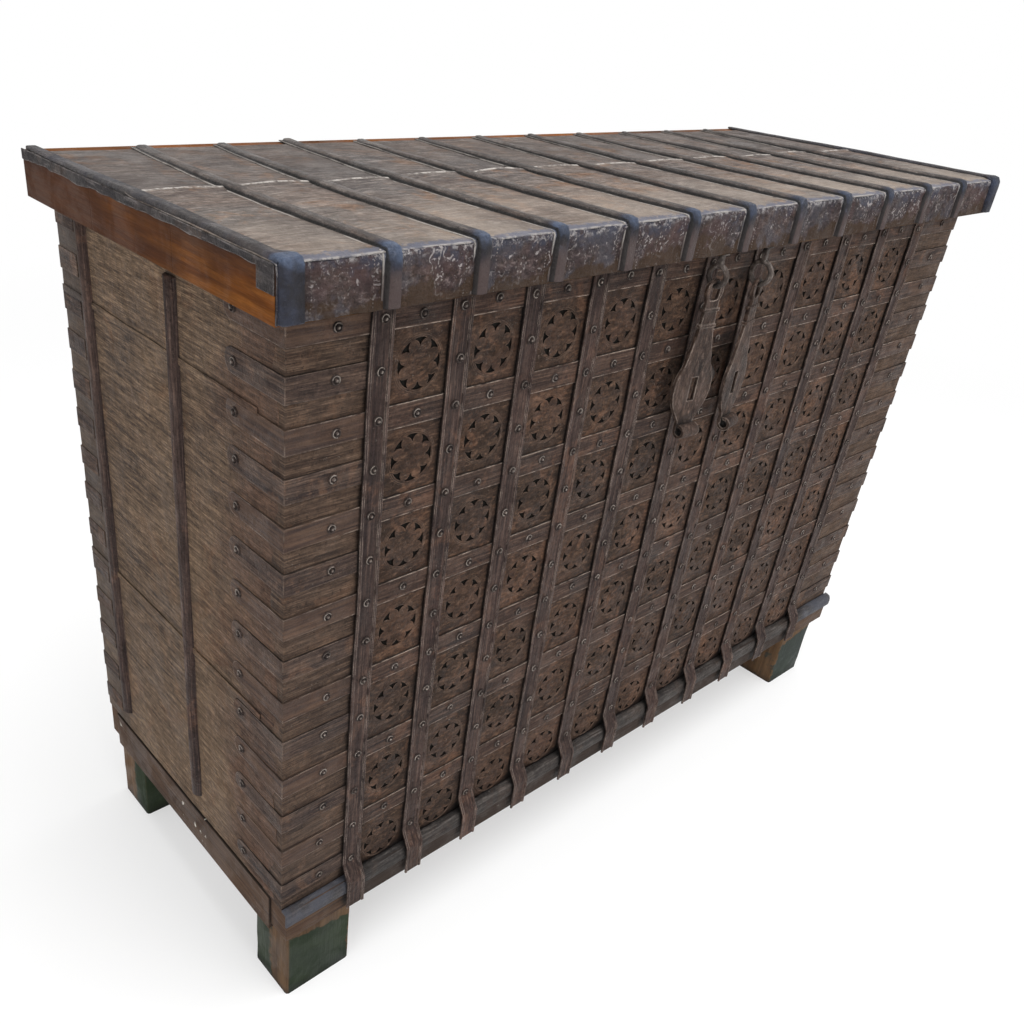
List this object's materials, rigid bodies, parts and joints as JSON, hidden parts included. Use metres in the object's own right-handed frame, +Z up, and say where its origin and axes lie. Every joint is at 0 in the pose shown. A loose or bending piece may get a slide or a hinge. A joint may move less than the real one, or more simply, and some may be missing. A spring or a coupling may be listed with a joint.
{
  "type": "damchiya chest",
  "caption": "Iron-clad wooden dowry chest on short legs, with pierced rosette plates under straps, a ribbed hinged lid and two swinging hasps.",
  "frame": {"origin": "bottom centre of the closed chest's box, on the floor under its feet", "axes": "+X to the chest's right as seen from its front, +Y to its back, +Z up; the front with the hasps faces -Y"},
  "size_m": [1.3024, 0.5144, 0.95],
  "materials": {
    "leg_paint": "dark green paint worn to bare wood at the edges",
    "rail_wood": "bare aged wood with flecks of old paint",
    "board_wood": "dry, unfinished old boards",
    "moulding_iron": "grey-blue worn iron, lightly rusted",
    "rosette_iron": "dark brown rusted sheet iron, oiled",
    "strap_iron": "dark brown rusted strap iron, edges rubbed",
    "side_iron": "brown rusted sheet iron with greenish patches",
    "lid_wood": "orange-brown worn end grain and bare boards",
    "fascia_iron": "purplish brown sheet iron, dented",
    "lid_iron": "greyish light brown worn sheet iron",
    "rib_iron": "blue-black to grey-brown worn iron",
    "hasp_iron": "forged iron, rubbed brown",
    "hinge_iron": "dark forged iron"
  },
  "bodies": {
    "chest": {"post_front_left": "leg_paint", "post_front_right": "leg_paint", "post_back_left": "leg_paint", "post_back_right": "leg_paint", "front_rail": "rail_wood", "back_rail": "rail_wood", "side_rail_left": "rail_wood", "side_rail_right": "rail_wood", "front_boards": "board_wood", "back_boards": "board_wood", "side_boards_left": "board_wood", "side_boards_right": "board_wood", "floor_bearers": "board_wood", "floor_boards": "board_wood", "base_moulding": "moulding_iron", "rosette_sheet_row_1": "rosette_iron", "rosette_sheet_row_2": "rosette_iron", "rosette_sheet_row_3": "rosette_iron", "rosette_sheet_row_4": "rosette_iron", "rosette_sheet_row_5": "rosette_iron", "rosette_sheet_row_6": "rosette_iron", "rosette_sheet_row_7": "rosette_iron", "cross_straps": "strap_iron", "corner_straps_left": "strap_iron", "corner_straps_right": "strap_iron", "vertical_bands": "strap_iron", "rear_straps_left": "strap_iron", "rear_straps_right": "strap_iron", "corner_sheet_left": "side_iron", "corner_sheet_right": "side_iron", "side_sheets_left": "side_iron", "side_sheets_right": "side_iron", "side_ribs_left": "side_iron", "side_ribs_right": "side_iron", "hasp_staple": "hasp_iron", "hinge_straps": "hinge_iron", "hinge_pins": "hinge_iron"},
    "lid": {"lid_boards": "lid_wood", "lid_battens": "lid_wood", "lid_fascia": "fascia_iron", "lid_sheet_front": "lid_iron", "lid_sheet_back": "lid_iron", "lid_ribs": "rib_iron", "lid_edge_strip_left": "rib_iron", "lid_edge_strip_right": "rib_iron", "lid_corner_tab_left": "fascia_iron", "lid_corner_tab_right": "fascia_iron", "hasp_eye_left": "hasp_iron", "hasp_eye_right": "hasp_iron", "hinge_leaves": "hinge_iron"},
    "hasp_left_body": {"hasp_left": "hasp_iron"},
    "hasp_right_body": {"hasp_right": "hasp_iron"}
  },
  "joints": [
    {"name": "lid_hinge", "type": "hinge", "parent": "chest", "child": "lid", "pos_m": [0, 0.25019, 0.89385], "axis": [-1, 0, 0], "range_deg": [0, 100]},
    {"name": "hasp_left_swing", "type": "hinge", "parent": "lid", "child": "hasp_left_body", "pos_m": [-0.049, -0.23931, 0.86175], "axis": [-0.9945, 0.1045, 0], "range_deg": [-3, 110]},
    {"name": "hasp_right_swing", "type": "hinge", "parent": "lid", "child": "hasp_right_body", "pos_m": [0.043, -0.23931, 0.85375], "axis": [-0.9816, -0.1908, 0], "range_deg": [-3, 110]}
  ]
}
